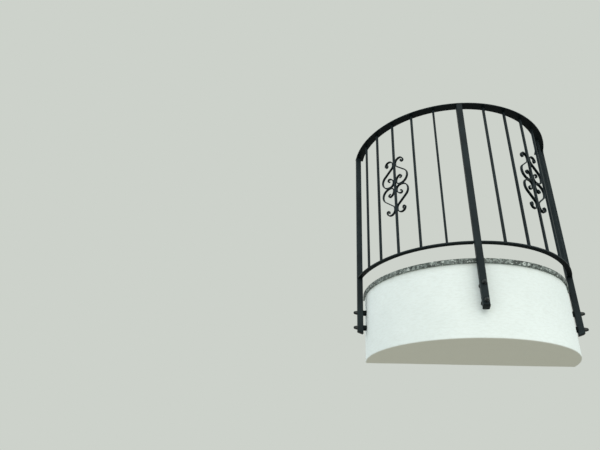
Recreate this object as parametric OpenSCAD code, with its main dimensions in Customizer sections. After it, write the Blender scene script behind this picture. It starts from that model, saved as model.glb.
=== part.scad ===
// Half-round wall balcony: a rendered slab with a stone floor, and an iron railing
// bolted to the slab's curved face on three posts. Millimetres, +Z up, +X to the
// right along the wall, -Y out from the wall. The origin is at the middle of the
// slab's flat back face, where it meets the wall.

/* [Slab] */
// Radius of the half-round slab in plan
slab_r = 580; // [450:10:900]
// Height of the slab's curved face
slab_h = 383; // [260:1:500]
// Radius of the rendered arris under the slab
slab_arris = 6; // [2:1:15]

/* [Floor] */
// Thickness of the stone floor
floor_t = 26; // [15:1:40]
// How far the floor's edge stands out past the slab
floor_lip = 9; // [2:1:14]
// Radius of the floor's eased edges
floor_ease = 2; // [1:0.5:4]

/* [Railing] */
// Height of the handrail's top above the floor
rail_h = 988; // [850:1:1200]
// Angle from the wall round to each end post
end_angle = 10; // [8:0.5:25]
// Width of the handrail's flat bar
handrail_w = 52; // [40:1:70]
// Thickness of the handrail's flat bar
handrail_t = 7; // [5:1:15]
// Radius of the handrail's eased edges
handrail_ease = 1.5; // [0.5:0.5:3]
// How far the handrail's edge stands out past the posts
handrail_lip = 0; // [0:1:10]
// How far the handrail runs on past each end post
handrail_run = 3; // [0:1:40]
// Width of the bottom rail's flat bar
bottom_rail_w = 28; // [20:1:40]
// Thickness of the bottom rail's flat bar
bottom_rail_t = 8; // [5:1:12]
// Gap between the floor and the bottom rail
bottom_gap = 77; // [50:1:120]
// How far the bars and the bottom rail are set in from the middle of the posts
bar_inset = 16; // [0:1:18]

/* [Posts] */
// Side of the square posts
post_w = 33; // [28:1:50]
// Wall of the post's square tube
post_wall = 3; // [2:0.5:4]
// Radius of the tube's outer corners
post_corner = 4; // [4:0.5:6]
// How far the end posts' axes run down past the floor's underside
post_drop = 229; // [160:1:250]
// How much lower the front post's foot and anchors sit
front_drop = 11; // [0:1:40]
// Slope of the posts' cut feet, which are longer on the slab's side
foot_slope = 19; // [0:1:28]
// Thickness of the cap closing each post's foot
cap_h = 5; // [3:1:10]
// How far the cap stands out round the post
cap_lip = 1; // [0.5:0.5:3]

/* [Fixings] */
// Length of the spacer between slab and post
spacer_len = 20; // [15:1:50]
// Diameter of the spacer
spacer_d = 32; // [24:1:40]
// Diameter of the anchor stud
stud_d = 12; // [8:1:14]
// Depth of the anchor stud in the slab
stud_depth = 100; // [60:5:120]
// Play between the anchor stud and its hole in the post
stud_play = 1; // [0.5:0.5:2]
// Height of the lower anchor above the middle of the post's foot
stud_foot = 27; // [20:1:60]
// Distance between the two anchors of a post
stud_pitch = 90; // [60:1:110]
// Diameter of the washer under each nut
washer_d = 24; // [20:1:30]
// Thickness of the washer
washer_t = 2; // [1:0.5:4]

/* [Bars] */
// Side of the square upright bars
bar_w = 12; // [10:1:20]

/* [Scrolls] */
// Height of the scrollwork's middle above the floor
scroll_z = 527; // [420:1:620]
// Thickness of the scrolls' flat bar
scroll_t = 6; // [4:0.5:8]
// Depth of the scrolls' flat bar
scroll_d = 14; // [10:1:18]
// Radius of the scroll's belly
belly_r = 47; // [40:1:51]
// Radius of the scroll's outer curl where it leaves the bar
curl_r = 30; // [26:1:36]
// Length over which a scroll lies against the bar, and against the scroll above or below
seat_len = 6; // [4:1:16]
// Radius of the bend from the neck into the belly
neck_r = 26; // [20:1:40]
// Angle the scroll leans out at from the neck
neck_lean = 50; // [46:1:55]
// Length of the straight between neck and belly
neck_run = 70; // [62:1:85]
// Diameter of the ball at each scroll end
ball_d = 10; // [8:1:16]

/* [Hidden] */
$fn = 48;
// Facets round the slab's and the rails' long curves
long_fn = 180;
iron = "#1d2226";
render_white = "#e9ebe7";
granite = "#8b8f90";

// Heights
slab_bottom = -slab_h / 2;
slab_top = slab_h / 2;
floor_top = slab_top + floor_t;
handrail_top = floor_top + rail_h;
handrail_bottom = handrail_top - handrail_t;
bottom_rail_z = floor_top + bottom_gap;
bar_foot = bottom_rail_z + bottom_rail_t;

// Radii
post_r = slab_r + spacer_len + post_w / 2;
post_face_r = post_r + post_w / 2;
bar_r = post_r - bar_inset;
handrail_r = post_face_r + handrail_lip - handrail_w / 2;
stud_hole_d = stud_d + stud_play;

// Edges as they come from the mill
flat_ease = 0.5;

// Angles round the half circle, from the wall on the left to the wall on the right
left = end_angle;
front = 90;
right = 180 - end_angle;
rail_end = end_angle - asin((post_w / 2 + handrail_run) / handrail_r);

// Between two posts the bars stand with the same clear gap everywhere
bars_per_side = 5;
side_arc = (front - end_angle) * PI / 180 * bar_r;
clear_gap = (side_arc - post_w - bars_per_side * bar_w) / (bars_per_side + 1);
first_step = (post_w / 2 + clear_gap + bar_w / 2) * 180 / PI / bar_r;
bar_step = (clear_gap + bar_w) * 180 / PI / bar_r;
middle_bar = (bars_per_side + 1) / 2;

// Dome nut sizes follow the stud: across the flats, height of the hexagon and of the
// round collar on it, radius of the dome
nut_af = 1.7 * stud_d;
nut_h = 0.8 * stud_d;
collar_h = 0.2 * stud_d;
dome_r = 0.8 * stud_d;

// How far the cap's plug stands up into the tube
cap_plug = 2 * post_wall;

// Each scroll tightens turn by turn: radii as shares of the curl's and the belly's first one
curl_tightening = [1, 0.82, 0.28];
belly_tightening = [1, 0.54, 0.7, 0.2];

// How far the middle of each end ball stands past the end of the flat bar
ball_past = ball_d / 4;

// Extra length of a cutting shape past the face it cuts
past = 1;

// Turning between two points on a bent bar
bend_step = 7.5;

// The front post's foot and anchors sit lower than those of the end posts
function post_foot(angle) = slab_top - post_drop - (angle == front ? front_drop : 0);
function stud_low(angle) = post_foot(angle) + stud_foot;
function stud_high(angle) = stud_low(angle) + stud_pitch;

// Puts the children at an angle and radius: local X outwards, Y along the rail, Z up
module round_at(angle, radius) {
    rotate([0, 0, 180 + angle])
        translate([radius, 0, 0])
            children();
}

// A flat bar with eased edges, bent round the half circle between two angles, its foot
// at height z
module bent_flat(from, to, radius, width, thickness, ease, z) {
    translate([0, 0, z + thickness / 2])
        rotate([0, 0, 180 + from])
            rotate_extrude(angle = to - from, $fn = long_fn)
                translate([radius, 0])
                    rounded_rectangle(width, thickness, ease);
}

// A rectangle round the origin with rounded corners
module rounded_rectangle(width, height, corner) {
    square([width, height - 2 * corner], center = true);
    square([width - 2 * corner, height], center = true);
    for (x = [-1, 1], y = [-1, 1])
        translate([x * (width / 2 - corner), y * (height / 2 - corner)])
            circle(corner);
}

// The rendered half-round slab, with the anchor holes drilled into its curved face
module slab() {
    color(render_white)
        difference() {
            translate([0, 0, slab_bottom])
                rotate([0, 0, 180])
                    rotate_extrude(angle = 180, $fn = long_fn)
                        slab_profile();
            for (a = [left, front, right], z = [stud_low(a), stud_high(a)])
                round_at(a, slab_r - stud_depth)
                    translate([0, 0, z])
                        rotate([0, 90, 0])
                            cylinder(d = stud_d, h = stud_depth + past);
        }
}

module slab_profile() {
    square([slab_r - slab_arris, slab_h]);
    translate([0, slab_arris])
        square([slab_r, slab_h - slab_arris]);
    translate([slab_r - slab_arris, slab_arris])
        circle(slab_arris);
}

// The stone floor, with eased edges
module floor_slab() {
    edge_r = slab_r + floor_lip;
    color(granite)
        translate([0, 0, slab_top])
            rotate([0, 0, 180])
                rotate_extrude(angle = 180, $fn = long_fn) {
                    square([edge_r - floor_ease, floor_t]);
                    translate([0, floor_ease])
                        square([edge_r, floor_t - 2 * floor_ease]);
                    for (y = [floor_ease, floor_t - floor_ease])
                        translate([edge_r - floor_ease, y])
                            circle(floor_ease);
                }
}

module handrail() {
    color(iron)
        bent_flat(
            rail_end, 180 - rail_end, handrail_r,
            handrail_w, handrail_t, handrail_ease, handrail_bottom
        );
}

// One half of the bottom rail, cut square at the sides of its two posts
module bottom_rail(from, to) {
    color(iron)
        difference() {
            bent_flat(
                from, to, bar_r,
                bottom_rail_w, bottom_rail_t, flat_ease, bottom_rail_z
            );
            for (a = [from, to])
                round_at(a, bar_r)
                    translate([-bottom_rail_w, -post_w / 2, bottom_rail_z - past])
                        cube([2 * bottom_rail_w, post_w, bottom_rail_t + 2 * past]);
        }
}

// A plate that slopes like the post's foot, from one distance above its cut to another
module slanted_plate(from, to) {
    rotate([0, -foot_slope, 0])
        translate([-2 * post_w, -2 * post_w, from])
            cube([4 * post_w, 4 * post_w, to - from]);
}

// A square tube from its cut foot up to the handrail, with a hole through for each anchor
module post(angle) {
    color(iron)
        round_at(angle, post_r)
            difference() {
                translate([0, 0, post_foot(angle) - post_w])
                    linear_extrude(handrail_bottom - post_foot(angle) + post_w)
                        difference() {
                            rounded_rectangle(post_w, post_w, post_corner);
                            tube_bore();
                        }
                translate([0, 0, post_foot(angle)])
                    slanted_plate(-4 * post_w, 0);
                for (z = [stud_low(angle), stud_high(angle)])
                    translate([-post_w / 2 - past, 0, z])
                        rotate([0, 90, 0])
                            cylinder(d = stud_hole_d, h = post_w + 2 * past);
            }
}

module tube_bore() {
    inner = post_w - 2 * post_wall;
    rounded_rectangle(inner, inner, post_corner - post_wall);
}

// The cap on a post's cut foot: a thin lip below, and a plug that fits in the tube
module post_cap(angle) {
    outer = post_w + 2 * cap_lip;
    color(iron)
        round_at(angle, post_r)
            translate([0, 0, post_foot(angle)]) {
                intersection() {
                    upright(post_w)
                        rounded_rectangle(outer, outer, post_corner + cap_lip);
                    slanted_plate(-cap_h, 0);
                }
                intersection() {
                    upright(post_w)
                        tube_bore();
                    slanted_plate(-past, cap_plug);
                }
            }
}

// An outline drawn out as far down as up
module upright(reach) {
    translate([0, 0, -reach])
        linear_extrude(2 * reach)
            children();
}

// The round tube that holds a post off the slab
module spacer(angle, z) {
    color(iron)
        difference() {
            spacer_body(angle, z);
            translate([0, 0, slab_bottom])
                cylinder(r = slab_r, h = slab_h, $fn = long_fn);
        }
}

module spacer_body(angle, z) {
    round_at(angle, slab_r - past)
        translate([0, 0, z])
            rotate([0, 90, 0])
                difference() {
                    cylinder(d = spacer_d, h = spacer_len + past);
                    translate([0, 0, -past])
                        cylinder(d = stud_d, h = spacer_len + 3 * past);
                }
}

// The stud set in the slab, with the washer and the dome nut on the post's face
module anchor(angle, z) {
    color(iron)
        round_at(angle, post_face_r)
            translate([0, 0, z])
                rotate([0, 90, 0]) {
                    translate([0, 0, slab_r - stud_depth - post_face_r])
                        cylinder(d = stud_d, h = post_face_r - slab_r + stud_depth + past);
                    cylinder(d = washer_d, h = washer_t);
                    translate([0, 0, washer_t])
                        dome_nut();
                }
}

// A hexagon with its upper corners turned off, a round collar and a dome
module dome_nut() {
    corners_d = nut_af / cos(30);
    intersection() {
        cylinder(d = corners_d, h = nut_h, $fn = 6);
        cylinder(d1 = corners_d + 2 * nut_h, d2 = nut_af - past, h = nut_h);
    }
    cylinder(r = dome_r, h = nut_h + collar_h);
    translate([0, 0, nut_h + collar_h])
        intersection() {
            sphere(r = dome_r);
            cylinder(r = nut_af, h = nut_af);
        }
}

// Angle from an end post round to bar number k
function bar_angle(k) = first_step + (k - 1) * bar_step;

// An upright square bar between the bottom rail and the handrail
module upright_bar(angle) {
    color(iron)
        round_at(angle, bar_r)
            translate([-bar_w / 2, -bar_w / 2, bar_foot])
                cube([bar_w, bar_w, handrail_bottom - bar_foot]);
}

// Steps of a bent bar are [radius, turn]: a turn is positive to the left, negative to
// the right, and a radius of 0 makes a straight piece as long as the second number.
// A pose is [x, y, heading], and step_pose gives it at a fraction f of one step.
function step_pose(p, step, f) =
    let (r = step[0], turn = step[1] * f, side = step[1] < 0 ? -1 : 1, h = p[2])
    r == 0
        ? [p[0] + turn * cos(h), p[1] + turn * sin(h), h]
        : [
            p[0] + side * r * (sin(h + turn) - sin(h)),
            p[1] - side * r * (cos(h + turn) - cos(h)),
            h + turn
        ];

// The pose before step i, from the pose that the bar starts in
function pose_before(start, steps, i) =
    i == 0 ? start : step_pose(pose_before(start, steps, i - 1), steps[i - 1], 1);

// Poses all along the bar, a bend_step of turning apart on its bends
function bar_path(start, steps) = concat(
    [
        for (i = [0:len(steps) - 1])
            let (n = steps[i][0] == 0 ? 1 : ceil(abs(steps[i][1]) / bend_step))
            let (p = pose_before(start, steps, i))
            for (k = [0:n - 1]) step_pose(p, steps[i], k / n)
    ],
    [pose_before(start, steps, len(steps))]
);

// The same poses walked from the other end
function walked_back(path) =
    [for (i = [len(path) - 1:-1:0]) [path[i][0], path[i][1], path[i][2] + 180]];

// Points at one side of a path: half a bar's thickness to the left, or minus that to the right
function beside(path, half) =
    [for (p = path) [p[0] - half * sin(p[2]), p[1] + half * cos(p[2])]];

// The middle of the ball forged on the end of a path, a little way past that end
function ball_middle(path) =
    let (end = path[len(path) - 1])
    [end[0] + ball_past * cos(end[2]), end[1] + ball_past * sin(end[2]), 0];

module bar_along(path, thickness, depth) {
    left_side = beside(path, thickness / 2);
    right_side = beside(path, -thickness / 2);
    translate([0, 0, -depth / 2])
        linear_extrude(depth)
            polygon(concat(left_side, [for (i = [len(path) - 1:-1:0]) right_side[i]]));
}

// One S-shaped scroll, drawn flat: it lies against the upright bar at its neck, curls
// out above it, and swings out below it into the belly, which comes down on the level
// of the scrollwork's middle and turns back up into the inner curl
module s_scroll() {
    belly_drop = neck_r * sin(neck_lean) + neck_run * cos(neck_lean) + belly_r * (1 + sin(neck_lean));
    neck = [(bar_w + scroll_t) / 2, belly_drop + scroll_t / 2];
    outer_curl = bar_path([neck[0], neck[1], 90], [
        [0, seat_len],
        [curl_tightening[0] * curl_r, -90],
        [curl_tightening[1] * curl_r, -90],
        [curl_tightening[2] * curl_r, -200]
    ]);
    belly_and_inner_curl = bar_path([neck[0], neck[1], -90], [
        [neck_r, neck_lean],
        [0, neck_run],
        [belly_tightening[0] * belly_r, -90 - neck_lean],
        [0, seat_len],
        [belly_tightening[1] * belly_r, -80],
        [belly_tightening[2] * belly_r, -90],
        [belly_tightening[3] * belly_r, -180]
    ]);
    back = walked_back(outer_curl);
    bar_along(concat([for (i = [0:len(back) - 2]) back[i]], belly_and_inner_curl), scroll_t, scroll_d);
    for (path = [outer_curl, belly_and_inner_curl])
        translate(ball_middle(path))
            sphere(d = ball_d);
}

// A scroll on the middle bar of one side: 1 upper left, 2 upper right, 3 lower left, 4 lower right
module scroll(angle, quarter) {
    flip_x = quarter == 1 || quarter == 3 ? 1 : 0;
    flip_z = quarter > 2 ? 1 : 0;
    color(iron)
        round_at(angle, bar_r)
            translate([0, 0, floor_top + scroll_z])
                rotate([90, 0, 90])
                    mirror([flip_x, 0, 0])
                        mirror([0, flip_z, 0])
                            s_scroll();
}

slab();
floor_slab();
handrail();
bottom_rail(left, front);  // bottom_rail_left
bottom_rail(front, right);  // bottom_rail_right
post(left);  // post_left
post(front);  // post_front
post(right);  // post_right
post_cap(left);  // post_cap_left
post_cap(front);  // post_cap_front
post_cap(right);  // post_cap_right
spacer(left, stud_high(left));  // spacer_left_upper
spacer(left, stud_low(left));  // spacer_left_lower
spacer(front, stud_high(front));  // spacer_front_upper
spacer(front, stud_low(front));  // spacer_front_lower
spacer(right, stud_high(right));  // spacer_right_upper
spacer(right, stud_low(right));  // spacer_right_lower
anchor(left, stud_high(left));  // anchor_left_upper
anchor(left, stud_low(left));  // anchor_left_lower
anchor(front, stud_high(front));  // anchor_front_upper
anchor(front, stud_low(front));  // anchor_front_lower
anchor(right, stud_high(right));  // anchor_right_upper
anchor(right, stud_low(right));  // anchor_right_lower
upright_bar(left + bar_angle(1));  // bar_left_1
upright_bar(left + bar_angle(2));  // bar_left_2
upright_bar(left + bar_angle(3));  // bar_left_3
upright_bar(left + bar_angle(4));  // bar_left_4
upright_bar(left + bar_angle(5));  // bar_left_5
upright_bar(right - bar_angle(1));  // bar_right_1
upright_bar(right - bar_angle(2));  // bar_right_2
upright_bar(right - bar_angle(3));  // bar_right_3
upright_bar(right - bar_angle(4));  // bar_right_4
upright_bar(right - bar_angle(5));  // bar_right_5
scroll(left + bar_angle(middle_bar), 1);  // scroll_left_1
scroll(left + bar_angle(middle_bar), 2);  // scroll_left_2
scroll(left + bar_angle(middle_bar), 3);  // scroll_left_3
scroll(left + bar_angle(middle_bar), 4);  // scroll_left_4
scroll(right - bar_angle(middle_bar), 1);  // scroll_right_1
scroll(right - bar_angle(middle_bar), 2);  // scroll_right_2
scroll(right - bar_angle(middle_bar), 3);  // scroll_right_3
scroll(right - bar_angle(middle_bar), 4);  // scroll_right_4
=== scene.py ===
"""Looks of a half-round wall balcony.

A rendered slab carries a granite floor. A black painted wrought iron railing stands on three
square posts, which are bolted to the slab's curved face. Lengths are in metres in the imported
model's frame: +Z up, +X to the right along the wall, -Y out from the wall, and the origin at the
middle of the slab's flat back face.
"""

import logging
import math
from dataclasses import dataclass
from enum import Enum
from typing import Any, Sequence

import bpy
import numpy as np
from bpy.types import Material, Node, NodeSocket, NodeTree, Object
from mathutils import Matrix, Vector


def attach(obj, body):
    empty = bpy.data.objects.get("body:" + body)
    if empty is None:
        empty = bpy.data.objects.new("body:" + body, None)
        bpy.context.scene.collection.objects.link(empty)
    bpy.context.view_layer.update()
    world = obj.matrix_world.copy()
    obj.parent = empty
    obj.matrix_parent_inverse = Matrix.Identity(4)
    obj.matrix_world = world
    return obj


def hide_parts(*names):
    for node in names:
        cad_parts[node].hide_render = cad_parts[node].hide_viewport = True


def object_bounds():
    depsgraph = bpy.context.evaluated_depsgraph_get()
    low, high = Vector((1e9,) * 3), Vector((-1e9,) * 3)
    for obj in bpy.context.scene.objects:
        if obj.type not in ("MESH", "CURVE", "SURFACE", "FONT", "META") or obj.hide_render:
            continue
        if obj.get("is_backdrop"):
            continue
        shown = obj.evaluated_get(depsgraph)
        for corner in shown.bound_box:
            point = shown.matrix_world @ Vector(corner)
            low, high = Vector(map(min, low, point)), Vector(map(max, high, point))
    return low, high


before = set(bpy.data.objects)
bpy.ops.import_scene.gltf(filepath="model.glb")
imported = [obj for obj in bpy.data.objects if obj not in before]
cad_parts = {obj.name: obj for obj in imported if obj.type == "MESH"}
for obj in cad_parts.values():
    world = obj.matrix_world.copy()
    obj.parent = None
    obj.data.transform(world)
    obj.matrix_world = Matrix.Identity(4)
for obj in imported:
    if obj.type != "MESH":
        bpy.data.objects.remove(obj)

LOG = logging.getLogger("balcony")
BODY = "root"
UP = np.array([0.0, 0.0, 1.0])
FULL_TURN = 2 * math.pi
CREASE = math.radians(30)
Array = np.ndarray
Colour = tuple[float, float, float, float]


class Side(Enum):
    """Halves of the half circle, as seen from outside, each with the sign of its X."""

    LEFT = -1
    RIGHT = 1


class Quarter(Enum):
    """The four scrolls round a bar: their number in the node's name, the way they go along the
    rail (1 is towards the right hand) and the way they go in height."""

    UPPER_LEFT = (1, -1, 1)
    UPPER_RIGHT = (2, 1, 1)
    LOWER_LEFT = (3, -1, -1)
    LOWER_RIGHT = (4, 1, -1)


# -------- colour and node helpers


def linear(code: str) -> Colour:
    """Turns an sRGB colour into the linear one that shaders take.

    Args:
        code: the colour as #rrggbb.

    Returns:
        Linear red, green, blue and an alpha of 1.
    """
    values = [int(code[i : i + 2], 16) / 255 for i in (1, 3, 5)]
    red, green, blue = (v / 12.92 if v <= 0.04045 else ((v + 0.055) / 1.055) ** 2.4 for v in values)
    return (red, green, blue, 1.0)


def add_node(
    tree: NodeTree, kind: str, links: dict[str | int, Any] | None = None, **settings: Any
) -> Node:
    """Adds one shader node.

    Args:
        tree: the node tree that takes it.
        kind: the node's type name, without its ShaderNode prefix.
        links: for each input socket, by name or number, a value or the output socket to join to it.
        settings: values of the node's own properties.

    Returns:
        The new node.
    """
    made = tree.nodes.new("ShaderNode" + kind)
    for name, value in settings.items():
        setattr(made, name, value)
    for name, value in (links or {}).items():
        if isinstance(value, NodeSocket):
            tree.links.new(value, made.inputs[name])
        else:
            made.inputs[name].default_value = value
    return made


class Recipe:
    """A material in the making: its tree, its Object coordinates, the height in them, and how
    far the surface faces up (1) or down (-1)."""

    def __init__(self, name: str, comment: str) -> None:
        """Starts an empty material.

        Args:
            name: the real material's name.
            comment: what it gives the eye, kept with the material.
        """
        self.material = bpy.data.materials.new(name)
        self.material.use_nodes = True
        self.material["look"] = comment
        self.tree = self.material.node_tree
        self.tree.nodes.clear()
        own = add_node(self.tree, "TexCoord").outputs
        self.place = own["Object"]
        self.height = add_node(self.tree, "SeparateXYZ", {0: self.place}).outputs["Z"]
        self.facing_up = add_node(self.tree, "SeparateXYZ", {0: own["Normal"]}).outputs["Z"]

    def noise(self, size: float, detail: float, rough: float = 0.5, squeeze: float = 1.0) -> Any:
        """Adds soft noise whose patches are about a given size across.

        Args:
            size: width of a patch in metres.
            detail: octaves of finer noise on it.
            rough: strength of each finer octave.
            squeeze: how many times lower than wide a patch is.

        Returns:
            The output socket, 0 to 1 round 0.5.
        """
        links = {"Vector": self.place, "Scale": (1, 1, squeeze)}
        place = add_node(self.tree, "Mapping", links).outputs[0]
        links = {"Vector": place, "Scale": 1 / size, "Detail": detail, "Roughness": rough}
        return add_node(self.tree, "TexNoise", links).outputs[0]

    def crystals(self, place: Any, size: float) -> tuple[Any, Any, Any]:
        """Adds cells round scattered points, each cell with two random values of its own.

        Args:
            place: socket of the coordinates.
            size: spacing of the points in metres.

        Returns:
            Sockets of the distance from a cell's point, and of its two values, 0 to 1.
        """
        made = add_node(self.tree, "TexVoronoi", {"Vector": place, "Scale": 1 / size}).outputs
        own = add_node(self.tree, "SeparateColor", {0: made["Color"]}).outputs
        return made["Distance"], own[0], own[1]

    def ramp(
        self, value: Any, low: float, high: float, to_low: float = 0.0, to_high: float = 1.0
    ) -> Any:
        """Maps a value's range from low to high to another range, and holds it at the ends."""
        links = {0: value, 1: low, 2: high, 3: to_low, 4: to_high}
        return add_node(self.tree, "MapRange", links, clamp=True).outputs[0]

    def mix(self, share: Any, first: Any, second: Any) -> Any:
        """Mixes two colours, sRGB codes or sockets, by the share of the second one."""
        a, b = (linear(c) if isinstance(c, str) else c for c in (first, second))
        return add_node(self.tree, "Mix", {0: share, 6: a, 7: b}, data_type="RGBA").outputs[2]

    def steps(self, value: Any, stops: Sequence[tuple[float, str]]) -> Any:
        """Turns a value into colours that step from one to the next.

        Args:
            value: output socket, 0 to 1.
            stops: where each colour starts, and its sRGB code.

        Returns:
            The output socket.
        """
        made = add_node(self.tree, "ValToRGB", {0: value})
        band = made.color_ramp
        band.interpolation = "CONSTANT"
        while len(band.elements) < len(stops):
            band.elements.new(1.0)
        for element, (position, code) in zip(band.elements, stops):
            element.position, element.color = position, linear(code)
        return made.outputs[0]

    def bump(self, height: Any, depth: float, strength: float, under: Any = None) -> Any:
        """Adds relief of a depth in metres, over the normal of coarser relief if there is one."""
        links = {"Height": height, "Distance": depth, "Strength": strength}
        return add_node(self.tree, "Bump", links | ({"Normal": under} if under else {})).outputs[0]

    def finish(self, colour: Any, roughness: Any, normal: Any, specular: float) -> Material:
        """Joins colour, roughness and normal to the shader.

        Args:
            colour: base colour socket.
            roughness: socket or number.
            normal: normal's socket.
            specular: specular level, 0.5 for clean stone and less for dull or dusty paint.

        Returns:
            The finished material.
        """
        links = {"Base Color": colour, "Roughness": roughness, "Normal": normal}
        links["Specular IOR Level"] = specular
        shader = add_node(self.tree, "BsdfPrincipled", links)
        add_node(self.tree, "OutputMaterial", {0: shader.outputs[0]})
        return self.material


# -------- finishes


@dataclass(frozen=True)
class MasonryPaint:
    """White masonry paint on floated cement render: fine strokes of the float along the face,
    a sandy grit, faint drip dirt and painted shade under the stone's edge, and a darker, warmer
    soffit that is partly grime and partly painted shade."""

    name: str = "White masonry paint on cement render"
    face: str = "#eaf5f0"
    shaded: str = "#e3eee9"
    soffit: str = "#d1d4c8"
    dirt_and_lip_shade: str = "#b9bcae"
    cloud: float = 0.384
    stain: float = 0.09
    stroke: float = 0.024
    stroke_flatness: float = 3.0
    stroke_depth: float = 0.001
    stroke_dirt: float = 0.13
    grit: float = 0.004
    grit_depth: float = 0.0007
    grit_dirt: float = 0.12
    soffit_z: float = -0.1905
    arris: float = 0.004
    edge_z: float = 0.1915
    drip_height: float = 0.035
    drip_dirt_and_lip_shade: float = 0.3

    def build(self) -> Material:
        """Builds the material.

        Returns:
            The material.
        """
        r = Recipe(self.name, "matt white, sandy close by, with fine level strokes of the float")
        blot = r.ramp(r.noise(self.cloud, 4, 0.55), 0.35, 0.65)
        colour = r.mix(blot, self.face, self.shaded)
        # The float's strokes are about 8 mm high and three times as long. The grit of 1 to 2 mm
        # sand is drawn at 4 mm, to show from the street
        strokes = r.noise(self.stroke, 3, 0.6, self.stroke_flatness)
        colour = r.mix(r.ramp(strokes, 0.42, 0.7, 0, self.stroke_dirt), colour, self.dirt_and_lip_shade)
        # The soffit's darker, warmer colour is partly grime and partly painted shade under the slab
        under = r.ramp(r.height, self.soffit_z + self.arris, self.soffit_z)
        colour = r.mix(under, colour, self.soffit)
        # Darker patches along the top of the face: drip dirt off the stone, and painted shade under
        # the stone's lip
        patchy = r.ramp(r.noise(self.stain, 3, 0.6), 0.4, 0.7, 0.2, 1)
        lip_shade_and_drip = r.ramp(r.height, self.edge_z - self.drip_height, self.edge_z, 0, self.drip_dirt_and_lip_shade)
        stains_and_lip_shade = add_node(r.tree, "Math", {0: patchy, 1: lip_shade_and_drip}, operation="MULTIPLY")
        colour = r.mix(stains_and_lip_shade.outputs[0], colour, self.dirt_and_lip_shade)
        grain = r.noise(self.grit, 4, 0.65)
        colour = r.mix(r.ramp(grain, 0.62, 0.8, 0, self.grit_dirt), colour, self.dirt_and_lip_shade)
        waves = r.bump(strokes, self.stroke_depth, 0.5)
        normal = r.bump(grain, self.grit_depth, 0.7, under=waves)
        return r.finish(colour, r.ramp(blot, 0, 1, 0.86, 0.94), normal, specular=0.3)


@dataclass(frozen=True)
class Granite:
    """Grey granite with a sawn edge: grains of feldspar, quartz and black mica."""

    name: str = "Speckled grey granite"
    large: float = 0.013
    small: float = 0.0055
    fleck: float = 0.005
    wander: float = 0.005
    cloud: float = 0.12
    saw_grain: float = 0.0012
    tones: tuple[tuple[float, str], ...] = (
        (0.0, "#1e2523"), (0.2, "#434e4a"), (0.42, "#64706b"), (0.68, "#828e88"), (0.86, "#b3beb7"),
    )
    mica: str = "#1f2625"
    dust: str = "#7d8982"

    def build(self) -> Material:
        """Builds the material.

        Returns:
            The material.
        """
        r = Recipe(self.name, "salt and pepper grey with a faint green cast, dull sawn sheen")
        # Crystals are drawn about twice as coarse as real ones, to show from the street, and their
        # borders wander as interlocked crystals' do
        links = {"Vector": r.place, "Scale": 1 / self.large, "Detail": 3}
        push = add_node(r.tree, "TexNoise", links).outputs["Color"]
        links = {0: push, 1: (self.wander,) * 3, 2: r.place}
        place = add_node(r.tree, "VectorMath", links, operation="MULTIPLY_ADD").outputs[0]
        distance, tone, cluster = r.crystals(place, self.large)
        _, fine, _ = r.crystals(place, self.small)
        _, _, black = r.crystals(place, self.fleck)
        in_small = r.ramp(cluster, 0.55, 0.6)
        colour = r.mix(in_small, r.steps(tone, self.tones), r.steps(fine, self.tones))
        colour = r.mix(r.ramp(black, 0.82, 0.84, 0, 0.8), colour, self.mica)
        colour = r.mix(r.ramp(r.noise(self.cloud, 3), 0.4, 0.7, 0, 0.25), colour, self.dust)
        pits = r.bump(distance, 0.0004, 0.3)
        normal = r.bump(r.noise(self.saw_grain, 2), 0.0002, 0.4, under=pits)
        return r.finish(colour, r.ramp(tone, 0, 1, 0.42, 0.6), normal, specular=0.5)


@dataclass(frozen=True)
class IronPaint:
    """Black paint brushed on wrought iron: satin, a cool blue grey black on faces that look out or
    up and black underneath, partly from the weather and partly painted sky sheen and painted shade,
    slightly uneven from the brush and the forge."""

    name: str
    black: str = "#081213"
    faded_with_painted_sheen: str = "#222a2c"
    chalked_with_painted_sheen: str = "#2b3537"
    forged: float = 0.05
    forged_depth: float = 0.002
    brush: float = 0.02
    brush_length: float = 4.545
    brush_depth: float = 0.0005
    peel: float = 0.004
    peel_depth: float = 0.0001
    dullest: float = 0.52
    glossiest: float = 0.4
    specular: float = 0.06

    def build(self) -> Material:
        """Builds the material.

        Returns:
            The material.
        """
        r = Recipe(self.name, "near black satin with a cool sheen, soft hammered unevenness")
        weather = r.ramp(r.noise(self.forged * 3, 5, 0.6), 0.38, 0.68)
        # Faces that look down keep the black, as painted shade and as paint the weather missed; the
        # rest get a lighter blue grey that is partly fading and partly painted sky sheen
        lit_and_weathered_faces = r.ramp(r.facing_up, -0.75, -0.15)
        colour = r.mix(lit_and_weathered_faces, self.black, r.mix(weather, self.faded_with_painted_sheen, self.chalked_with_painted_sheen))
        hammered = r.bump(r.noise(self.forged, 2, 0.4), self.forged_depth, 0.3)
        # Brush marks are 1 to 2 mm wide on the real railing, and drawn coarser to show at all
        brushed = r.noise(self.brush, 3, 0.55, 1 / self.brush_length)
        strokes = r.bump(brushed, self.brush_depth, 0.5, under=hammered)
        normal = r.bump(r.noise(self.peel, 2), self.peel_depth, 0.4, under=strokes)
        gloss = r.ramp(weather, 0, 1, self.glossiest, self.dullest)
        return r.finish(colour, gloss, normal, self.specular)


@dataclass(frozen=True)
class BlackPlastic:
    """Moulded black plastic with a fine spark-eroded grain."""

    name: str = "Black moulded plastic"
    base: str = "#12191a"
    dusty: str = "#1e2727"
    dust: float = 0.012
    grain: float = 0.0009
    grain_depth: float = 0.00015

    def build(self) -> Material:
        """Builds the material.

        Returns:
            The material.
        """
        r = Recipe(self.name, "dull even black, fine grain, a little dust")
        dust = r.ramp(r.noise(self.dust, 4, 0.6), 0.45, 0.75)
        colour = r.mix(dust, self.base, self.dusty)
        # The mould's grain is a fifth of a millimetre, and drawn coarser to show close by
        grain = r.bump(r.noise(self.grain, 2), self.grain_depth, 0.6)
        return r.finish(colour, r.ramp(dust, 0, 1, 0.5, 0.65), grain, specular=0.12)


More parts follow.
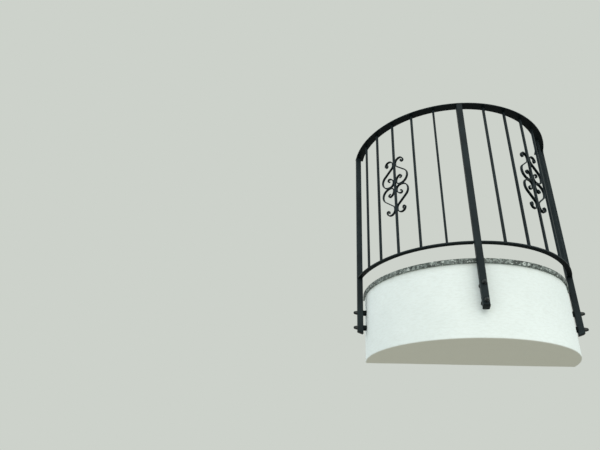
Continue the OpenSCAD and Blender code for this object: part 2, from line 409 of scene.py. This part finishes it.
@dataclass(frozen=True)
class StudioFloor:
    """A plain pale floor, dull, with the faintest grain, which keeps the shadow."""

    name: str = "Pale studio floor"
    base: str = "#b4b2a8"
    worn: str = "#c4c2b8"
    cloud: float = 0.4
    grain: float = 0.02

    def build(self) -> Material:
        """Builds the material.

        Returns:
            The material.
        """
        r = Recipe(self.name, "plain, matt, keeps the shadow")
        colour = r.mix(r.ramp(r.noise(self.cloud, 2), 0.3, 0.7, 0, 0.1), self.base, self.worn)
        return r.finish(colour, 0.95, r.bump(r.noise(self.grain, 2), 0.0005, 0.2), specular=0.2)


# -------- meshes


@dataclass
class Shape:
    """Points, quads and larger flat faces, with one normal for each corner of the quads and then
    of the flat faces. Without normals, edges sharper than the crease stay sharp."""

    points: Array
    quads: Array
    flats: list[Array]
    normals: Array | None = None


def joined(shapes: Sequence[Shape]) -> Shape:
    """Puts shapes with normals together as one.

    Args:
        shapes: the shapes.

    Returns:
        One shape with all their points and faces.
    """
    starts = np.cumsum([0] + [len(s.points) for s in shapes[:-1]])
    quads = np.vstack([s.quads + start for s, start in zip(shapes, starts)])
    flats = [flat + start for s, start in zip(shapes, starts) for flat in s.flats]
    normals = [s.normals[: s.quads.size] for s in shapes]
    normals += [s.normals[s.quads.size :] for s in shapes]
    return Shape(np.vstack([s.points for s in shapes]), quads, flats, np.vstack(normals))


def grid_faces(rows: int, columns: int, wrap_rows: bool, wrap_columns: bool) -> Array:
    """Lists the quads on a grid of points. Each joins two neighbours in one row to the same two
    in the next.

    Args:
        rows: number of rows of points.
        columns: number of points in a row.
        wrap_rows: True if the last row joins the first.
        wrap_columns: True if each row closes on itself.

    Returns:
        An array of four corner numbers a face.
    """
    i = np.arange(rows if wrap_rows else rows - 1)[:, None]
    j = np.arange(columns if wrap_columns else columns - 1)[None, :]
    below, beyond = (i + 1) % rows, (j + 1) % columns
    quads = [i * columns + j, i * columns + beyond, below * columns + beyond, below * columns + j]
    return np.stack(np.broadcast_arrays(*quads), axis=-1).reshape(-1, 4)


def tube_faces(rows: int, columns: int) -> tuple[Array, list[Array]]:
    """Quads of a tube of rings of points, and the flat faces over its first and its last ring."""
    ring = np.arange(columns)
    return grid_faces(rows, columns, False, True), [ring[::-1], ring + (rows - 1) * columns]


def run_along(path: Array) -> Array:
    """Length of a path up to each of its points: the running sum of the steps' lengths."""
    return np.concatenate([[0], np.cumsum(np.linalg.norm(np.diff(path, axis=0), axis=1))])


def unit_rows(vectors: Array) -> Array:
    """Scales each row to a length of 1."""
    return vectors / np.linalg.norm(vectors, axis=1)[:, None]


def swept(
    path: Array, across: Array, up: Array, section: Array, facing: Array,
    scale: Array | None = None, closed: bool = False,
) -> Shape:
    """Carries a closed section along a path: each point is path + s * across + t * up.

    Args:
        path: points of the path, one a row.
        across: unit vector of the section's first axis, at each point or for all of them.
        up: unit vector of the section's second axis, likewise. across x up is the path's way.
        section: points (s, t) of the section, anticlockwise seen against the way of the path.
        facing: outward unit vector (s, t) at each point of the section.
        scale: factors on s and t at each point of the path.
        closed: True if the path closes on itself; otherwise flat ends close the bar.

    Returns:
        The shape.
    """
    rows, columns = len(path), len(section)
    across, up = np.broadcast_to(across, path.shape), np.broadcast_to(up, path.shape)
    sizes = np.ones((rows, 2)) if scale is None else scale
    s, t = section[:, 0] * sizes[:, :1], section[:, 1] * sizes[:, 1:]
    points = path[:, None] + s[..., None] * across[:, None] + t[..., None] * up[:, None]
    outward = facing[:, :1] * across[:, None] + facing[:, 1:] * up[:, None]
    points, outward = points.reshape(-1, 3), outward.reshape(-1, 3)
    if closed:
        quads = grid_faces(rows, columns, True, True)
        return Shape(points, quads, [], outward[quads.ravel()])
    quads, flats = tube_faces(rows, columns)
    ways = [-np.cross(across[0], up[0]), np.cross(across[-1], up[-1])]
    ends = [np.tile(way, (columns, 1)) for way in ways]
    return Shape(points, quads, flats, np.vstack([outward[quads.ravel()], *ends]))


def eased_rectangle(
    width: float, height: float, ease: float, steps: int = 4
) -> tuple[Array, Array]:
    """A rectangle with rounded corners: each corner is a quarter circle of the easing radius.

    Args:
        width: size along the first axis.
        height: size along the second axis.
        ease: radius of the corners.
        steps: pieces in each quarter circle.

    Returns:
        The points and the outward unit vectors, anticlockwise.
    """
    turns = np.radians(np.linspace(0, 90, steps + 1) + np.array([[0], [90], [180], [270]]))
    outward = np.stack([np.cos(turns), np.sin(turns)], axis=-1)
    middle = np.array([[1, 1], [-1, 1], [-1, -1], [1, -1]]) * (np.array([width, height]) / 2 - ease)
    return (middle[:, None] + ease * outward).reshape(-1, 2), outward.reshape(-1, 2)


def ball(centre: Array, radius: float, rows: int = 14, columns: int = 24) -> Shape:
    """A sphere of rings of latitude, from 4 degrees off one pole to 4 degrees off the other, with
    a small flat at each.

    Args:
        centre: its centre.
        radius: its radius.
        rows: rings from pole to pole.
        columns: points in each ring.

    Returns:
        The shape.
    """
    tilt = np.radians(np.linspace(4, 176, rows))[:, None]
    turn = np.linspace(0, FULL_TURN, columns, endpoint=False)
    parts = np.sin(tilt) * np.cos(turn), np.sin(tilt) * np.sin(turn), -np.cos(tilt)
    outward = np.stack(np.broadcast_arrays(*parts), -1).reshape(-1, 3)
    quads, flats = tube_faces(rows, columns)
    corners = np.concatenate([quads.ravel(), *flats])
    return Shape(centre + radius * outward, quads, flats, outward[corners])


def turned(profile: Array, turn: Array) -> Array:
    """Turns points (r, z) about the upright axis: (r cos a, r sin a, z) for each angle a."""
    r, z, a = profile[:, 0], profile[:, 1], turn[:, None]
    return np.stack(np.broadcast_arrays(r * np.cos(a), r * np.sin(a), z), -1)


def mesh_piece(
    name: str, shape: Shape, material: Material, node: str | None = None
) -> Object:
    """Makes a piece from a shape and puts it on the body.

    Args:
        name: the piece's name.
        shape: points, faces and normals.
        material: its finish.
        node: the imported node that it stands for, if there is one.

    Returns:
        The piece.
    """
    mesh = bpy.data.meshes.new(name)
    faces = shape.quads.tolist() + [flat.tolist() for flat in shape.flats]
    mesh.from_pydata(shape.points.tolist(), [], faces)
    mesh.shade_smooth()
    if shape.normals is None:
        mesh.set_sharp_from_angle(angle=CREASE)
    else:
        mesh.normals_split_custom_set(shape.normals.tolist())
    mesh.materials.append(material)
    piece = bpy.data.objects.new(name, mesh)
    bpy.context.scene.collection.objects.link(piece)
    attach(piece, BODY)
    if node is not None:
        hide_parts(node)
    return piece


def iron_piece(node: str, shape: Shape, paint: Material) -> Object:
    """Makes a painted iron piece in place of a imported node."""
    return mesh_piece("iron_" + node, shape, paint, node)


def dress(node: str, material: Material) -> Object:
    """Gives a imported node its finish.

    Args:
        node: the node's name.
        material: the finish.

    Returns:
        The node's object.
    """
    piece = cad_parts[node]
    piece.data.materials.clear()
    piece.data.materials.append(material)
    return piece


@dataclass(frozen=True)
class Spot:
    """A place on the railing: local X outwards, Y along the rail towards the right hand seen from
    outside, Z up."""

    angle: float
    radius: float

    @property
    def out(self) -> Array:
        """Unit vector outwards."""
        turn = math.radians(180 + self.angle)
        return np.array([math.cos(turn), math.sin(turn), 0.0])

    @property
    def along(self) -> Array:
        """Unit vector along the rail."""
        return np.cross(UP, self.out)

    def point(self, x: Any, y: Any, z: Any) -> Array:
        """Points given in the spot's own axes: (radius + x) out + y along + z up."""
        x, y, z = (np.asarray(v)[..., None] for v in (x, y, z))
        return (self.radius + x) * self.out + y * self.along + z * UP


# -------- the railing's posts


@dataclass
class Posts:
    """The three square posts with their caps, spacers and anchors.

    They have the railing's paint, the anchors paint over zinc, and the spacers a darker copy of the
    paint, partly less weathered and partly painted shade between post and slab.
    """

    paint: Material
    fixing: Material
    sheltered_and_shaded: Material
    plastic: Material
    radius: float = 0.6165
    side: float = 0.033
    corner: float = 0.004
    names: tuple[str, str, str] = ("left", "front", "right")
    angles: tuple[float, float, float] = (10.0, 90.0, 170.0)
    feet: tuple[float, float, float] = (-0.0375, -0.0485, -0.0375)
    foot_slope: float = 19.0
    studs: tuple[float, float] = (0.027, 0.117)
    wall: float = 0.003
    cap_lip: float = 0.001
    cap_height: float = 0.005
    cap_rings: int = 14
    plug: float = 0.006

    @property
    def spots(self) -> list[Spot]:
        """Places of the posts."""
        return [Spot(angle, self.radius) for angle in self.angles]

    def anchor_points(self, radius: float) -> list[Array]:
        """Where the anchors' axes cross a radius: two a post, above its foot."""
        places = [(a, foot + z) for a, foot in zip(self.angles, self.feet) for z in self.studs]
        return [Spot(a, radius).point(0, 0, z) for a, z in places]

    def cap(self, spot: Spot, foot: float) -> Shape:
        """A moulded cap on a post's sloping foot: a plug in the tube over a pillow shaped lip.

        Rings of the post's outline are stacked along the slope's depth. Below the lip's rim the
        depth grows with the share s of the way in as (1 - (1 - s)^3)^(1/3), so it is round at the
        rim and nearly flat in the middle. The shares are 1 - cos a, for a from 85 degrees to 0.

        Args:
            spot: the post's place.
            foot: height of the middle of the cut foot.

        Returns:
            The shape.
        """
        slope = math.radians(self.foot_slope)
        full, rim_corner = self.side + 2 * self.cap_lip, self.corner + self.cap_lip
        bore, bore_corner = self.side - 2 * self.wall, self.corner - self.wall
        share = 1 - np.cos(np.radians(np.linspace(85, 0, self.cap_rings)))
        depth = self.cap_height * (1 - (1 - share) ** 3) ** (1 / 3)
        rings = [(full * (1 - s), rim_corner * (1 - s), -d) for s, d in zip(share, depth)]
        rings += [(bore, bore_corner, 0.0), (bore, bore_corner, self.plug)]
        rows = []
        for width, corner, above in rings:
            x, y = eased_rectangle(width, width, corner)[0].T
            z = foot + x * math.tan(slope) + above / math.cos(slope)
            rows.append(spot.point(x, y, z))
        return Shape(np.vstack(rows), *tube_faces(len(rows), len(rows[0])))

    def build(self) -> list[Object]:
        """Finishes posts, spacers and anchors, and builds the caps in place of their nodes.

        Returns:
            The pieces.
        """
        made = []
        for name, spot, foot in zip(self.names, self.spots, self.feet):
            made.append(dress(f"post_{name}", self.paint))
            cap, node = self.cap(spot, foot), f"post_cap_{name}"
            made.append(mesh_piece(f"moulded_cap_{name}", cap, self.plastic, node))
            for level in ("upper", "lower"):
                made.append(dress(f"spacer_{name}_{level}", self.sheltered_and_shaded))
                made.append(dress(f"anchor_{name}_{level}", self.fixing))
        return made


# -------- the slab and its floor


@dataclass
class Slab:
    """The half-round slab under its granite floor: its curved face, rounded arris and flat soffit
    are as floated by hand, but true where the posts' spacers press on the face."""

    render: Material
    granite: Material
    posts: Posts
    radius: float = 0.580
    bottom: float = -0.1915
    top: float = 0.1915
    arris: float = 0.006
    inner: float = 0.004
    rings_round: int = 241
    rows_down: tuple[int, int, int] = (60, 7, 66)
    wave: float = 0.0004
    shortest: float = 0.08
    longest: float = 0.3
    waves: int = 12
    most_waves: float = 4.0
    pressed: float = 0.03
    seed: int = 7

    def profile(self) -> tuple[Array, Array]:
        """The outline from the top of the face down, round the arris and in to the middle.

        Returns:
            Points (r, z) and their outward unit vectors.
        """
        on_face, on_arris, on_soffit = self.rows_down
        turns = np.radians(np.linspace(0, -90, on_arris))
        centre = np.array([self.radius - self.arris, self.bottom + self.arris])
        face = np.linspace([self.radius, self.top], [self.radius, centre[1]], on_face)[:-1]
        edge = np.stack([np.cos(turns), np.sin(turns)], -1)
        soffit = np.linspace([centre[0], self.bottom], [self.inner, self.bottom], on_soffit)
        points = np.vstack([face, centre + self.arris * edge, soffit[1:]])
        level, down = np.full_like(face, (1, 0)), np.full_like(soffit[1:], (0, -1))
        return points, np.vstack([level, edge, down])

    def unevenness(self, points: Array) -> Array:
        """How far the float left the render below its true face, never above it.

        It is a sum of sine waves of random direction and start, held at the height that a few of
        them reach together, and scaled to run from 0 to minus twice the wave's height.

        Args:
            points: points of the true face.

        Returns:
            The offset of each point in metres.
        """
        rng = np.random.default_rng(self.seed)
        total = np.zeros(points.shape[:-1])
        for length in np.linspace(self.shortest, self.longest, self.waves):
            way = rng.normal(size=3)
            way /= np.linalg.norm(way)
            total += np.sin(points @ way * FULL_TURN / length + rng.uniform(0, FULL_TURN))
        return -self.wave * (1 + np.clip(total / self.most_waves, -1, 1))

    def build(self) -> list[Object]:
        """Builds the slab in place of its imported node, and finishes the floor.

        Returns:
            The pieces.
        """
        profile, facing = self.profile()
        turn = np.radians(np.linspace(180, 360, self.rings_round))
        true_face = turned(profile, turn)
        offset = self.unevenness(true_face)
        for point in self.posts.anchor_points(self.radius):
            away = np.linalg.norm(true_face - point, axis=-1)
            offset *= 1 - np.exp(-((away / self.pressed) ** 4))
        points = (true_face + offset[..., None] * turned(facing, turn)).reshape(-1, 3)
        rows, columns = len(turn), len(profile)
        # The top, the soffit and the back meet at two added points on the wall's line
        high, low = len(points), len(points) + 1
        points = np.vstack([points, [0, 0, self.top], [0, 0, self.bottom]])
        rim, first = np.arange(rows) * columns, np.arange(columns)
        flats = [
            np.r_[high, rim],
            np.r_[low, (rim + columns - 1)[::-1]],
            np.r_[first[::-1], high, low],
            np.r_[low, high, first + (rows - 1) * columns],
        ]
        shape = Shape(points, grid_faces(rows, columns, False, False), flats)
        slab = mesh_piece("slab_render", shape, self.render, "slab")
        return [slab, dress("floor_slab", self.granite)]


# -------- rails, bars and scrolls


@dataclass
class Rails:
    """The handrail, and the two halves of the flat bottom rail. Each half follows the bars' half
    circle, but was bent by hand: it opens out towards its end, and so meets the end post near the
    post's middle."""

    paint: Material
    posts: Posts
    radius: float = 0.6005
    width: float = 0.028
    thickness: float = 0.008
    foot: float = 0.2945
    ease: float = 0.0007
    opens_from: float = 46.0
    opens_by: float = 0.018
    rings: int = 96

    def reach(self, turn: Any, end: float) -> Any:
        """Radius of the middle line at an angle: R + F u^2, u from 0 where it opens to 1 at end."""
        begin = math.radians(self.opens_from)
        return self.radius + self.opens_by * (np.clip(begin - turn, 0, None) / (begin - end)) ** 2

    def line(self) -> tuple[Array, Array, Array]:
        """The middle line of the left half, from the end post's side to the front post's side.

        It ends at the angle a where r sin(a - e) is half the post's side, with e the post's angle.
        The section is cut there along the post's side, and widened by one over the cosine of the
        angle between that side and the rail's own normal.

        Returns:
            The points, the horizontal unit vector across the rail at each, and the width's factor.
        """
        end, half = math.radians(self.posts.angles[0]), self.posts.side / 2
        first = end
        # Four rounds bring the end to within a micrometre
        for _ in range(4):
            first = end + math.asin(half / float(self.reach(first, end)))
        turn = np.linspace(first, math.acos(half / self.radius), self.rings)
        out = np.stack([-np.cos(turn), -np.sin(turn), 0 * turn], -1)
        points = self.reach(turn, end)[:, None] * out
        across = unit_rows(np.cross(np.gradient(points, turn, axis=0), UP))
        points[:, 2] = self.foot + self.thickness / 2
        factor = np.ones(len(points))
        for k, post in zip((0, -1), self.posts.spots):
            factor[k] = 1 / float(across[k] @ post.out)
            across[k] = post.out
        return points, across, factor

    def build(self) -> list[Object]:
        """Finishes the handrail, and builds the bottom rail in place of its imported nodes.

        Returns:
            The pieces.
        """
        made = [dress("handrail", self.paint)]
        points, across, factor = self.line()
        section, facing = eased_rectangle(self.thickness, self.width, self.ease)
        scale = np.stack([np.ones_like(factor), factor], -1)
        for side in Side:
            # The right half is the left one mirrored, with its path the other way round
            way = -side.value
            path, aside = ((rows * (way, 1, 1))[::way] for rows in (points, across))
            shape = swept(path, UP, aside, section, facing, scale[::way])
            made.append(iron_piece(f"bottom_rail_{side.name.lower()}", shape, self.paint))
        return made


@dataclass
class Bars:
    """The upright square bars, with the slightly rounded edges of rolled iron."""

    paint: Material
    posts: Posts
    radius: float = 0.6005
    side: float = 0.012
    ease: float = 0.0008
    foot: float = 0.3025
    head: float = 1.1985
    rings: int = 12
    per_side: int = 5

    def spots(self, side: Side) -> list[Spot]:
        """Places of one side's bars, from the end post on, with the same clear gap everywhere.

        Args:
            side: the half they stand in.

        Returns:
            The places.
        """
        end = self.posts.angles[0]
        arc = math.radians(90 - end) * self.radius
        gap = (arc - self.posts.side - self.per_side * self.side) / (self.per_side + 1)
        first = self.posts.side / 2 + gap + self.side / 2
        run = first + (gap + self.side) * np.arange(self.per_side)
        turns = end + np.degrees(run / self.radius)
        return [Spot(90 + side.value * (90 - float(turn)), self.radius) for turn in turns]

    def middle(self, side: Side) -> Spot:
        """Place of a side's middle bar, which carries its scrollwork."""
        return self.spots(side)[self.per_side // 2]

    def build(self) -> list[Object]:
        """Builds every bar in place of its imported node.

        Returns:
            The pieces.
        """
        section, facing = eased_rectangle(self.side, self.side, self.ease)
        made = []
        for side in Side:
            for number, spot in enumerate(self.spots(side), 1):
                path = spot.point(0, 0, np.linspace(self.foot, self.head, self.rings))
                shape = swept(path, spot.out, spot.along, section, facing)
                made.append(iron_piece(f"bar_{side.name.lower()}_{number}", shape, self.paint))
        return made


@dataclass
class Scrollwork:
    """Four S-scrolls of flat bar round the middle bar of each side, each ending in forged balls.

    A scroll's line is a chain of straights and arcs. It lies against the bar at its neck. Above
    the neck it curls out and in; below, it swings out into the belly, which meets the mirrored
    scroll of the other height and turns back up into the inner curl.
    """

    paint: Material
    bars: Bars
    height: float = 0.7445
    thickness: float = 0.006
    depth: float = 0.014
    ease: float = 0.0009
    seat: float = 0.006
    ball: float = 0.010
    ball_past: float = 0.0025
    neck_radius: float = 0.026
    neck_lean: float = 50.0
    neck_run: float = 0.070
    curl: tuple[tuple[float, float], ...] = ((0.030, -90), (0.0246, -90), (0.0084, -200))
    belly: tuple[tuple[float, float], ...] = (
        (0.047, -140), (0.02538, -80), (0.0329, -90), (0.0094, -180),
    )
    step: float = 0.004
    turn_step: float = 4.0
    drawn_run: float = 0.03
    drawn_to: tuple[float, float] = (0.88, 0.6)

    def walk(
        self, start: tuple[float, float, float], moves: Sequence[tuple[float, float]]
    ) -> Array:
        """Follows straights and arcs.

        On an arc of radius r, x grows by r (sin h' - sin h) and y by -r (cos h' - cos h) as the
        heading goes from h to h'.

        Args:
            start: x, y and heading in degrees.
            moves: radius and turn of each arc, left turns positive; radius 0 for a straight of
                that length.

        Returns:
            Poses (x, y, heading) close together along the line.
        """
        poses = [np.array([start])]
        for radius, amount in moves:
            x, y, heading = poses[-1][-1]
            now = math.radians(heading)
            step = self.turn_step if radius else self.step
            share = np.linspace(0, 1, max(2, int(abs(amount) / step)) + 1)[1:]
            if radius:
                then = np.radians(heading + amount * share)
                side = math.copysign(radius, amount)
                x = x + side * (np.sin(then) - math.sin(now))
                y = y - side * (np.cos(then) - math.cos(now))
                made = [x, y, np.degrees(then)]
            else:
                run = amount * share
                made = [x + run * math.cos(now), y + run * math.sin(now), heading + 0 * run]
            poses.append(np.stack(made, -1))
        return np.vstack(poses)

    def swing(self, start: tuple[float, float, float]) -> Array:
        """Poses from the neck down and out, round to the belly's lowest point."""
        moves = [(self.neck_radius, self.neck_lean), (0, self.neck_run), self.belly[0]]
        return self.walk(start, moves)

    @property
    def neck(self) -> tuple[float, float]:
        """Where a scroll leaves the upright bar: distance from its axis, and height over the
        scrollwork's middle."""
        drop = float(self.swing((0.0, 0.0, -90.0))[-1, 1])
        return ((self.bars.side + self.thickness) / 2, self.thickness / 2 - drop)

    @property
    def belly_foot(self) -> float:
        """Distance from the bar's axis to where a scroll starts to lie on the mirrored one."""
        return float(self.swing((*self.neck, -90.0))[-1, 0])

    def line(self) -> Array:
        """Poses from the outer curl's end to the inner curl's end, drawn for the upper right one.

        Returns:
            Poses (x, y, heading), x from the bar's axis and y from the scrollwork's middle.
        """
        outer = self.walk((*self.neck, 90.0), [(0, self.seat), *self.curl])
        swing = self.swing((*self.neck, -90.0))
        inner = self.walk(tuple(swing[-1]), [(0, self.seat), *self.belly[1:]])
        back = outer[::-1] + np.array([0, 0, 180.0])
        return np.vstack([back[:-1], swing, inner[1:]])

    def scroll(self, spot: Spot, quarter: Quarter) -> Shape:
        """One scroll with its two balls, drawn down a little where it runs into them.

        Args:
            spot: the bar it stands at.
            quarter: which of the four it is.

        Returns:
            The shape.
        """
        _, flip_x, flip_z = quarter.value
        x, y, heading = self.line().T[..., None]
        turn = np.radians(heading)
        right, up = spot.along * flip_x, UP * flip_z
        path = spot.point(0, 0, self.height) + x * right + y * up
        across = np.cos(turn) * up - np.sin(turn) * right
        section, facing = eased_rectangle(self.thickness, self.depth, self.ease)
        run = run_along(path)
        drawn = np.clip(np.minimum(run, run[-1] - run) / self.drawn_run, 0, 1)[:, None]
        least = np.array(self.drawn_to)
        scale = least + (1 - least) * drawn
        bar = swept(path, across, spot.out * flip_x * flip_z, section, facing, scale)
        tips = path[[0, -1]]
        centres = tips + self.ball_past * unit_rows(tips - path[[1, -2]])
        return joined([bar, *(ball(centre, self.ball / 2) for centre in centres)])

    def build(self) -> list[Object]:
        """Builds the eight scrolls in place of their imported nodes.

        Returns:
            The pieces.
        """
        made = []
        for side in Side:
            for quarter in Quarter:
                node = f"scroll_{side.name.lower()}_{quarter.value[0]}"
                shape = self.scroll(self.bars.middle(side), quarter)
                made.append(iron_piece(node, shape, self.paint))
        return made


@dataclass
class Welds:
    """Small ground welds under the paint, where bars, posts, rails and scrolls meet."""

    rails: Rails
    scrolls: Scrollwork
    bead: float = 0.0019
    ripple: float = 0.00025
    pitch: float = 0.0028
    sides: int = 10
    spacing: float = 0.001
    fewest: int = 16
    seam_rings: int = 12
    seam_end: float = 0.98

    def bead_along(self, path: Array, aside: Array, closed: bool) -> Shape:
        """A bead along a line. Its radius swings by a small ripple, and an open one thins out to
        its ends like half a circle, r sqrt(1 - u^2), with u just short of 1 at the ends.

        Args:
            path: points of the line, one a row.
            aside: unit vector square to the line, the same all along it.
            closed: True if the line closes on itself.

        Returns:
            The shape.
        """
        if closed:
            way = np.roll(path, -1, axis=0) - np.roll(path, 1, axis=0)
        else:
            way = np.gradient(path, axis=0)
        turns = np.linspace(0, FULL_TURN, self.sides, endpoint=False)
        circle = np.stack([np.cos(turns), np.sin(turns)], -1)
        radius = self.bead + self.ripple * np.cos(run_along(path) * FULL_TURN / self.pitch)
        if not closed:
            share = np.linspace(-self.seam_end, self.seam_end, len(path))
            radius = radius * np.sqrt(1 - share**2)
        scale = np.stack([radius, radius], -1)
        return swept(path, aside, np.cross(unit_rows(way), aside), circle, circle, scale, closed)

    def loop(self, width: float, height: float, corner: float) -> Array:
        """Points about a millimetre apart round a rectangle with rounded corners.

        Args:
            width: size along the first axis.
            height: size along the second axis.
            corner: radius of its corners.

        Returns:
            Both coordinates, as two rows.
        """
        outline, _ = eased_rectangle(width, height, corner, 3)
        outline = np.vstack([outline, outline[:1]])
        run = run_along(outline)
        count = max(self.fewest, int(run[-1] / self.spacing))
        at = np.linspace(0, run[-1], count, endpoint=False)
        return np.stack([np.interp(at, run, values) for values in outline.T])

    def ring(self, spot: Spot, side: float, corner: float, z: float) -> Shape:
        """A bead round an upright square bar, at the height where it meets a rail."""
        return self.bead_along(spot.point(*self.loop(side, side, corner), z), UP, True)

    def butts(self) -> list[Shape]:
        """Beads round the bottom rail's four ends, over the part that touches the post's side.

        Returns:
            The beads.
        """
        rails, half = self.rails, self.rails.posts.side / 2
        points, _, factor = rails.line()
        made = []
        for k, spot in zip((0, -1), rails.posts.spots):
            middle = float(points[k] @ spot.out) - spot.radius
            reach = rails.width * factor[k] / 2
            low, high = max(middle - reach, -half), min(middle + reach, half)
            x, z = self.loop(high - low, rails.thickness, rails.ease)
            ring = spot.point((low + high) / 2 + x, points[k] @ spot.along, points[k][2] + z)
            for way in (1, -1):
                mirror = np.array([way, 1, 1])
                made.append(self.bead_along((ring * mirror)[::way], spot.along * mirror, True))
        return made

    def seams(self, spot: Spot) -> list[Shape]:
        """Beads where a bar's four scrolls lie against it and against each other.

        Args:
            spot: the bar's place.

        Returns:
            The beads.
        """
        scrolls, half = self.scrolls, self.scrolls.bars.side / 2
        share = np.linspace(0, 1, self.seam_rings)
        neck = scrolls.neck[1] + scrolls.seat * share
        belly = scrolls.belly_foot - scrolls.seat * share
        made = []
        for face in (-1, 1):
            for flip_x in (-1, 1):
                for flip_z in (-1, 1):
                    path = spot.point(face * half, flip_x * half, scrolls.height + flip_z * neck)
                    made.append(self.bead_along(path, spot.out, False))
                path = spot.point(face * scrolls.depth / 2, flip_x * belly, scrolls.height)
                made.append(self.bead_along(path, spot.out, False))
        return made

    def build(self) -> list[Object]:
        """Builds the beads, one piece a rail and one for the scrolls.

        Returns:
            The pieces.
        """
        bars, posts = self.scrolls.bars, self.rails.posts
        spots = [spot for side in Side for spot in bars.spots(side)]
        feet = [self.ring(spot, bars.side, bars.ease, bars.foot) for spot in spots]
        heads = [self.ring(spot, bars.side, bars.ease, bars.head) for spot in spots]
        heads += [self.ring(spot, posts.side, posts.corner, bars.head) for spot in posts.spots]
        groups = {
            "bottom_rail": feet + self.butts(),
            "handrail": heads,
            "scrolls": [seam for side in Side for seam in self.seams(bars.middle(side))],
        }
        paint = self.rails.paint
        return [mesh_piece("welds_" + k, joined(v), paint) for k, v in groups.items()]


# -------- camera, light and floor


@dataclass(frozen=True)
class Viewpoint:
    """Where the camera stands and how it is turned: yaw from straight at the wall, pitch above the
    horizon and roll, in degrees."""

    place: tuple[float, float, float] = (-0.5572, -2.9181, -0.8183)
    yaw: float = -8.9325
    pitch: float = 27.8386
    roll: float = 3.0385
    lens: float = 28.904
    sensor: float = 36.0

    def build(self) -> Object:
        """Makes the camera and gives it to the scene.

        Returns:
            The camera.
        """
        yaw, pitch, roll = (math.radians(a) for a in (self.yaw, self.pitch, self.roll))
        level = np.array([math.cos(yaw), -math.sin(yaw), 0.0])
        forward = np.array([math.sin(yaw), math.cos(yaw), 0.0])
        ahead = math.cos(pitch) * forward + math.sin(pitch) * UP
        plumb = np.cross(level, ahead)
        right = math.cos(roll) * level + math.sin(roll) * plumb
        up = math.cos(roll) * plumb - math.sin(roll) * level
        data = bpy.data.cameras.new("view_from_the_street")
        data.sensor_fit, data.sensor_width, data.lens = "HORIZONTAL", self.sensor, self.lens
        camera = bpy.data.objects.new("view_from_the_street", data)
        axes = np.stack([right, up, -ahead, self.place], axis=1)
        camera.matrix_world = Matrix([*axes.tolist(), [0, 0, 0, 1]])
        bpy.context.scene.collection.objects.link(camera)
        bpy.context.scene.camera = camera
        return camera


@dataclass(frozen=True)
class Daylight:
    """Soft light of a bright overcast day, from above and in front, over a pale ground."""

    sky: str = "#f4f8ff"
    sky_strength: float = 1.13
    background: str = "#cdd2cb"
    key: str = "#fff6e6"
    key_strength: float = 0.89
    key_angle: float = 60.0
    key_from: tuple[float, float, float] = (0.3, -1.0, 0.75)
    ground_z: float = -2.44
    ground_reach: float = 30.0

    def world(self) -> bpy.types.World:
        """Makes the sky that gives the light, and the plain background that is seen instead.

        Returns:
            The world.
        """
        world = bpy.data.worlds.new("overcast_sky")
        world.use_nodes = True
        tree = world.node_tree
        tree.nodes.clear()
        rays = add_node(tree, "LightPath").outputs
        seen = rays["Is Camera Ray"]
        for other in ("Is Glossy Ray", "Is Transmission Ray"):
            links = {0: seen, 1: rays[other]}
            seen = add_node(tree, "Math", links, operation="MAXIMUM").outputs[0]
        lit = {0: linear(self.sky), 1: self.sky_strength}
        shown = {0: linear(self.background), 1: 1.0}
        lit, shown = (add_node(tree, "Background", links).outputs[0] for links in (lit, shown))
        both = add_node(tree, "MixShader", {0: seen, 1: lit, 2: shown})
        add_node(tree, "OutputWorld", {0: both.outputs[0]})
        return world

    def lamp(self) -> Object:
        """Makes the bright part of the sky, as one wide soft lamp.

        Returns:
            The lamp.
        """
        data = bpy.data.lights.new("bright_cloud", "SUN")
        data.energy, data.angle = self.key_strength, math.radians(self.key_angle)
        data.color = linear(self.key)[:3]
        lamp = bpy.data.objects.new("bright_cloud", data)
        lamp.rotation_mode = "QUATERNION"
        lamp.rotation_quaternion = Vector(self.key_from).to_track_quat("Z", "Y")
        return lamp

    def ground(self) -> Object:
        """Makes the wide pale floor.

        Returns:
            The floor.
        """
        mesh = bpy.data.meshes.new("ground")
        reach, z = self.ground_reach, self.ground_z
        square = [(-reach, -reach, z), (reach, -reach, z), (reach, reach, z), (-reach, reach, z)]
        mesh.from_pydata(square, [], [range(4)])
        mesh.materials.append(StudioFloor().build())
        return bpy.data.objects.new("ground", mesh)

    def build(self) -> None:
        """Gives the scene its world, its lamp and its floor."""
        scene = bpy.context.scene
        scene.view_settings.view_transform = "Standard"
        scene.world = self.world()
        ground = self.ground()
        for thing in (self.lamp(), ground):
            scene.collection.objects.link(thing)
        ground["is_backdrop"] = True


def corners() -> list[list[float]]:
    """Lowest and highest corner of the shown object's box."""
    return [[float(v) for v in corner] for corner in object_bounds()]


def main() -> None:
    """Builds every sub-assembly in order and reports each piece."""
    logging.basicConfig(level=logging.INFO, format="%(name)s: %(message)s")
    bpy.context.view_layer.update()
    paint = IronPaint("Black satin paint on wrought iron").build()
    # The fixings are small, so the brush and the forge leave finer marks on them
    small = {"brush": 0.006, "forged": 0.012}
    fixing = IronPaint(
        "Black paint on zinc plated steel",
        faded_with_painted_sheen="#1b2324", chalked_with_painted_sheen="#262f31", dullest=0.38, glossiest=0.28, specular=0.4, **small,
    ).build()
    # The spacers between post and slab get a darker copy of the paint: partly less weathered,
    # partly painted shade
    sheltered_and_shaded = IronPaint(
        "Black paint on tube, sheltered", faded_with_painted_sheen="#0f1616", chalked_with_painted_sheen="#151d1e", **small
    ).build()
    posts = Posts(paint, fixing, sheltered_and_shaded, BlackPlastic().build())
    slab = Slab(MasonryPaint().build(), Granite().build(), posts)
    rails, bars = Rails(paint, posts), Bars(paint, posts)
    scrolls = Scrollwork(paint, bars)
    for part in (slab, posts, rails, bars, scrolls, Welds(rails, scrolls)):
        for piece in part.build():
            finish = piece.data.materials[0].name
            LOG.info("%s: %s in %s", type(part).__name__, piece.name, finish)
    Viewpoint().build()
    Daylight().build()
    LOG.info("camera, light and floor are in place")


if __name__ == "__main__":
    main()
